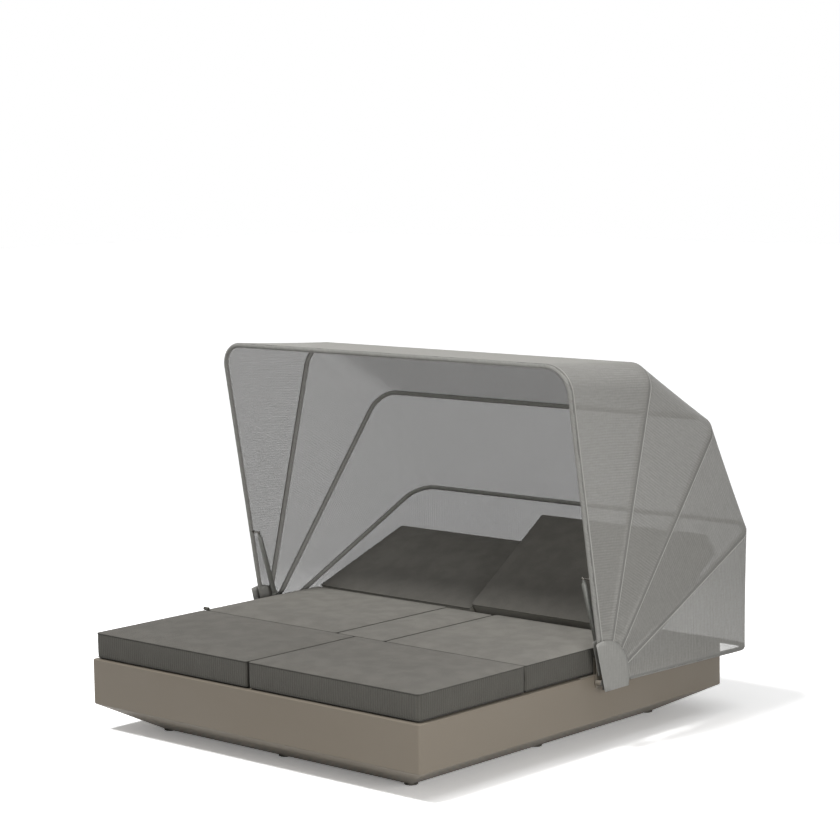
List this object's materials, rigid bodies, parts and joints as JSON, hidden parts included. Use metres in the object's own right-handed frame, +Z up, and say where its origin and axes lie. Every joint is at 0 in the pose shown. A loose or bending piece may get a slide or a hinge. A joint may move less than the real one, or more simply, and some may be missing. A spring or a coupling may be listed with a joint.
{
  "type": "outdoor daybed with canopy",
  "caption": "Square outdoor daybed on a tapered base, with box cushions, reclining backs on props and a folding mesh canopy on hoops.",
  "frame": {"origin": "middle of the object's box, on the floor under it", "axes": "+Z up, +X to the sitter's left as seen from the front, which is the object's right in the picture, front towards -Y, canopy and backs towards +Y"},
  "size_m": [2.129, 2.3019, 1.7138],
  "materials": {
    "base_resin": "matte",
    "cushion_fabric": "matte",
    "canopy_mesh": "matte",
    "hub_cover_fabric": "matte",
    "hoop_aluminium": "satin",
    "strut_paint": "satin",
    "steel": "satin",
    "board_resin": "matte",
    "glide_rubber": "matte"
  },
  "bodies": {
    "root": {"base_shell": "base_resin", "foot_1": "glide_rubber", "foot_2": "glide_rubber", "foot_3": "glide_rubber", "foot_4": "glide_rubber", "foot_5": "glide_rubber", "foot_6": "glide_rubber", "foot_7": "glide_rubber", "foot_8": "glide_rubber", "foot_9": "glide_rubber", "cushion_front_left": "cushion_fabric", "cushion_front_right": "cushion_fabric", "cushion_middle_left": "cushion_fabric", "cushion_middle_right": "cushion_fabric", "cushion_centre": "cushion_fabric", "hinge_rod_left": "steel", "hinge_block_left_inner": "steel", "hinge_block_left_outer": "steel", "prop_rack_left_inner": "board_resin", "prop_rack_left_outer": "board_resin", "hub_bracket_left": "hoop_aluminium", "hub_axle_left": "steel", "hub_cover_left": "hub_cover_fabric", "strut_pin_left": "steel", "hoop_standoff_left": "hoop_aluminium", "hinge_rod_right": "steel", "hinge_block_right_inner": "steel", "hinge_block_right_outer": "steel", "prop_rack_right_inner": "board_resin", "prop_rack_right_outer": "board_resin", "hub_bracket_right": "hoop_aluminium", "hub_axle_right": "steel", "hub_cover_right": "hub_cover_fabric", "strut_pin_right": "steel", "hoop_standoff_right": "hoop_aluminium", "hoop_fixed": "hoop_aluminium"},
    "hoop_rear": {"hoop_rear": "hoop_aluminium", "fabric_rear": "canopy_mesh"},
    "hoop_back": {"hoop_back": "hoop_aluminium", "fabric_back": "canopy_mesh"},
    "hoop_mid": {"hoop_mid": "hoop_aluminium", "fabric_mid": "canopy_mesh"},
    "hoop_front": {"hoop_front": "hoop_aluminium", "fabric_front": "canopy_mesh", "strut_stud_left": "steel", "strut_stud_right": "steel"},
    "strut_rod_left": {"strut_rod_left": "steel"},
    "strut_tube_left": {"strut_tube_left": "strut_paint"},
    "back_board_left": {"back_board_left": "board_resin"},
    "back_cushion_left": {"back_cushion_left": "cushion_fabric"},
    "back_prop_left": {"back_prop_left": "steel"},
    "strut_rod_right": {"strut_rod_right": "steel"},
    "strut_tube_right": {"strut_tube_right": "strut_paint"},
    "back_board_right": {"back_board_right": "board_resin"},
    "back_cushion_right": {"back_cushion_right": "cushion_fabric"},
    "back_prop_right": {"back_prop_right": "steel"}
  },
  "joints": [
    {"name": "canopy_fold", "type": "hinge", "parent": "root", "child": "hoop_rear", "pos_m": [0, -0.00101, 0.3053], "axis": [-1, 0, 0], "range_deg": [0, 18.4], "deforming": ["fabric_rear"]},
    {"name": "fold_back", "type": "hinge", "parent": "hoop_rear", "child": "hoop_back", "pos_m": [0, -0.00101, 0.3053], "axis": [-1, 0, 0], "range_deg": [0, 17.21], "deforming": ["fabric_back"]},
    {"name": "fold_mid", "type": "hinge", "parent": "hoop_back", "child": "hoop_mid", "pos_m": [0, -0.00101, 0.3053], "axis": [-1, 0, 0], "range_deg": [0, 15.31], "deforming": ["fabric_mid"]},
    {"name": "fold_front", "type": "hinge", "parent": "hoop_mid", "child": "hoop_front", "pos_m": [0, -0.00101, 0.3053], "axis": [-1, 0, 0], "range_deg": [0, 15.71], "deforming": ["fabric_front"]},
    {"name": "strut_left_tilt", "type": "hinge", "parent": "root", "child": "strut_rod_left", "pos_m": [-0.998, 0.04499, 0.3753], "axis": [-1, 0, 0], "range_deg": [0, 79.2]},
    {"name": "strut_left_slide", "type": "slide", "parent": "strut_rod_left", "child": "strut_tube_left", "axis": [0, -0.3046, 0.9525], "range_m": [-0.0184, 0]},
    {"name": "strut_right_tilt", "type": "hinge", "parent": "root", "child": "strut_rod_right", "pos_m": [0.998, 0.04499, 0.3753], "axis": [-1, 0, 0], "range_deg": [0, 79.2]},
    {"name": "strut_right_slide", "type": "slide", "parent": "strut_rod_right", "child": "strut_tube_right", "axis": [0, -0.3046, 0.9525], "range_m": [-0.0184, 0]},
    {"name": "back_left_recline", "type": "hinge", "parent": "root", "child": "back_board_left", "pos_m": [-0.499, 0.33299, 0.3263], "axis": [1, 0, 0], "range_deg": [-20, 25]},
    {"name": "back_left_cushion_slide", "type": "slide", "parent": "back_board_left", "child": "back_cushion_left", "axis": [0, 0.9397, 0.342], "range_m": [-0.06285, 0.07856]},
    {"name": "back_left_prop", "type": "hinge", "parent": "back_board_left", "child": "back_prop_left", "pos_m": [-0.499, 0.5867, 0.41864], "axis": [1, 0, 0], "range_deg": [-50.02, 40.02]},
    {"name": "back_right_recline", "type": "hinge", "parent": "root", "child": "back_board_right", "pos_m": [0.499, 0.33299, 0.3263], "axis": [1, 0, 0], "range_deg": [-34, 11]},
    {"name": "back_right_cushion_slide", "type": "slide", "parent": "back_board_right", "child": "back_cushion_right", "axis": [0, 0.829, 0.5592], "range_m": [-0.10683, 0.03458]},
    {"name": "back_right_prop", "type": "hinge", "parent": "back_board_right", "child": "back_prop_right", "pos_m": [0.499, 0.55683, 0.47728], "axis": [1, 0, 0], "range_deg": [-22.02, 68.02]}
  ],
  "couplings": [
    {"joint": "fold_back", "follows": "canopy_fold", "ratio": 0.93478},
    {"joint": "fold_mid", "follows": "canopy_fold", "ratio": 0.83152},
    {"joint": "fold_front", "follows": "canopy_fold", "ratio": 0.85326},
    {"joint": "strut_left_tilt", "follows": "canopy_fold", "ratio": 4.3027},
    {"joint": "strut_left_slide", "follows": "canopy_fold", "m_per_rad": -0.057232},
    {"joint": "strut_right_tilt", "follows": "canopy_fold", "ratio": 4.3027},
    {"joint": "strut_right_slide", "follows": "canopy_fold", "m_per_rad": -0.057232},
    {"joint": "back_left_cushion_slide", "follows": "back_left_recline", "m_per_rad": 0.18},
    {"joint": "back_left_prop", "follows": "back_left_recline", "ratio": -2},
    {"joint": "back_right_cushion_slide", "follows": "back_right_recline", "m_per_rad": 0.18},
    {"joint": "back_right_prop", "follows": "back_right_recline", "ratio": -2}
  ]
}
